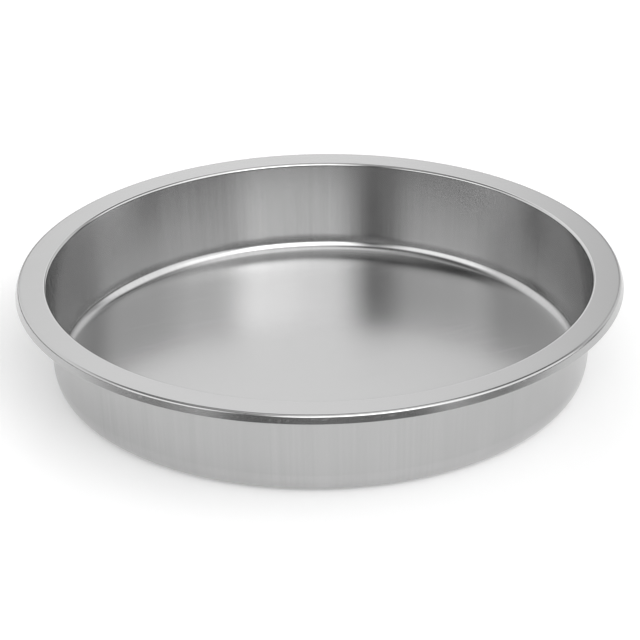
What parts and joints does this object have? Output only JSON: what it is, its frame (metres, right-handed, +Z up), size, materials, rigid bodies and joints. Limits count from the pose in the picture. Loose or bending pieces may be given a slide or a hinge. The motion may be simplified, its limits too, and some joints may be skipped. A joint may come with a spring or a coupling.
{
  "type": "chafing dish food pan",
  "caption": "Shallow round stainless steel food pan with a slightly tapered wall, a rounded base corner, a flat turned-out rim and a short turned-down lip.",
  "frame": {"origin": "centre of the underside of the base, on the surface the pan stands on", "axes": "+Z points up out of the open mouth, along the pan's axis of symmetry; +X and +Y are any two radii at right angles"},
  "size_m": [0.39, 0.39, 0.066],
  "materials": {
    "satin_stainless": "satin, as drawn and lightly brushed, smoother on the bends"
  },
  "bodies": {
    "root": {"pan": "satin_stainless"}
  },
  "joints": []
}
